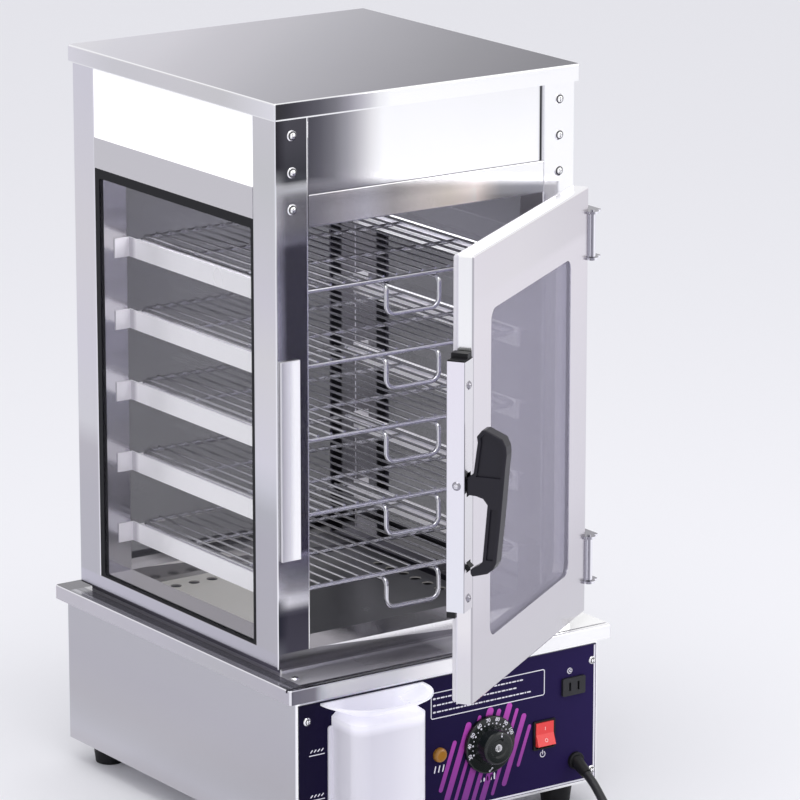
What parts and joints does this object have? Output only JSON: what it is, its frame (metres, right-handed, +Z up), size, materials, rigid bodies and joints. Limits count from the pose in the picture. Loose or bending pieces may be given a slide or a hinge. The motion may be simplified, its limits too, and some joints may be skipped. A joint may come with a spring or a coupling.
{
  "type": "steamed bun warmer cabinet",
  "caption": "Countertop steam cabinet of polished sheet with glass sides, sliding wire racks, a hinged glazed door with a latch handle, and a water-heated base with controls and a filling cup.",
  "frame": {"origin": "on the floor, under the middle of the whole with its door open as drawn and its cord left out", "axes": "+X to the right seen from the front, +Y to the back, +Z up"},
  "size_m": [0.3888, 0.7095, 0.7564],
  "materials": {
    "polished_steel": "mirror polished stainless sheet",
    "satin_steel": "plain stainless sheet",
    "chrome_wire": "bright chromed wire",
    "screw_steel": "bright pan heads",
    "clear_glass": "clear",
    "door_glass": "clear, dark beyond",
    "white_diffuser": "smooth, lets light through",
    "lamp_white": "frosted",
    "black_rubber": "matt",
    "white_silicone": "satin",
    "panel_print": "gloss printed skin on sheet",
    "dial_plastic": "gloss",
    "grey_plastic": "satin",
    "black_plastic": "satin",
    "red_plastic": "gloss",
    "amber_lens": "gloss",
    "milky_plastic": "smooth, lets light through",
    "cord_black": "satin"
  },
  "bodies": {
    "cabinet": {"top_cap": "polished_steel", "post_front_left": "polished_steel", "post_front_right": "polished_steel", "post_back_left": "polished_steel", "post_back_right": "polished_steel", "header_panel": "polished_steel", "header_rail": "polished_steel", "back_header": "polished_steel", "side_header_left": "polished_steel", "side_header_right": "polished_steel", "bottom_frame": "polished_steel", "base_top": "polished_steel", "hinge_brackets": "polished_steel", "strike_plate": "polished_steel", "chamber_ceiling": "satin_steel", "base_shell": "satin_steel", "base_bottom": "satin_steel", "water_tank": "satin_steel", "baffle_plate": "satin_steel", "rack_rails": "satin_steel", "heating_element": "satin_steel", "screws": "screw_steel", "glass_left": "clear_glass", "glass_right": "clear_glass", "glass_back": "clear_glass", "light_panel_left": "white_diffuser", "light_panel_right": "white_diffuser", "light_tube": "lamp_white", "window_rubbers": "black_rubber", "control_panel": "panel_print", "thermostat_body": "grey_plastic", "light_socket": "grey_plastic", "switch_housing": "black_plastic", "feet": "black_plastic", "cord_gland": "black_plastic", "indicator_lamp": "amber_lens", "water_cup": "milky_plastic", "power_cord": "cord_black", "power_cord_coil": "cord_black", "power_plug": "cord_black"},
    "door": {"hinge_leaves": "polished_steel", "door_frame": "polished_steel", "door_inner_frame": "satin_steel", "door_glazing": "door_glass", "door_gasket": "white_silicone", "latch_bar": "polished_steel", "latch_insert": "black_plastic"},
    "latch_handle": {"handle": "black_plastic"},
    "thermostat_dial": {"thermostat_knob": "dial_plastic"},
    "power_rocker": {"switch_rocker": "red_plastic"},
    "rack_shelf_1": {"rack_1": "chrome_wire", "rack_pull_1": "chrome_wire"},
    "rack_shelf_2": {"rack_2": "chrome_wire", "rack_pull_2": "chrome_wire"},
    "rack_shelf_3": {"rack_3": "chrome_wire", "rack_pull_3": "chrome_wire"},
    "rack_shelf_4": {"rack_4": "chrome_wire", "rack_pull_4": "chrome_wire"},
    "rack_shelf_5": {"rack_5": "chrome_wire", "rack_pull_5": "chrome_wire"}
  },
  "joints": [
    {"name": "door_hinge", "type": "hinge", "parent": "cabinet", "child": "door", "pos_m": [0.1823, -0.095, 0.42], "axis": [0, 0, 1], "range_deg": [-34, 70]},
    {"name": "handle_pivot", "type": "hinge", "parent": "door", "child": "latch_handle", "pos_m": [-0.10927, -0.28032, 0.4216], "axis": [-0.829, -0.5592, 0], "range_deg": [0, 5]},
    {"name": "dial_turn", "type": "hinge", "parent": "cabinet", "child": "thermostat_dial", "pos_m": [0.0459, -0.1121, 0.0895], "axis": [0, 1, 0], "range_deg": [0, 300]},
    {"name": "rocker_tip", "type": "hinge", "parent": "cabinet", "child": "power_rocker", "pos_m": [0.1143, -0.1091, 0.0864], "axis": [1, 0, 0], "range_deg": [0, 20]},
    {"name": "rack_slide_1", "type": "slide", "parent": "cabinet", "child": "rack_shelf_1", "axis": [0, -1, 0], "range_m": [0, 0.05]},
    {"name": "rack_slide_2", "type": "slide", "parent": "cabinet", "child": "rack_shelf_2", "axis": [0, -1, 0], "range_m": [0, 0.05]},
    {"name": "rack_slide_3", "type": "slide", "parent": "cabinet", "child": "rack_shelf_3", "axis": [0, -1, 0], "range_m": [0, 0.05]},
    {"name": "rack_slide_4", "type": "slide", "parent": "cabinet", "child": "rack_shelf_4", "axis": [0, -1, 0], "range_m": [0, 0.05]},
    {"name": "rack_slide_5", "type": "slide", "parent": "cabinet", "child": "rack_shelf_5", "axis": [0, -1, 0], "range_m": [0, 0.05]}
  ]
}
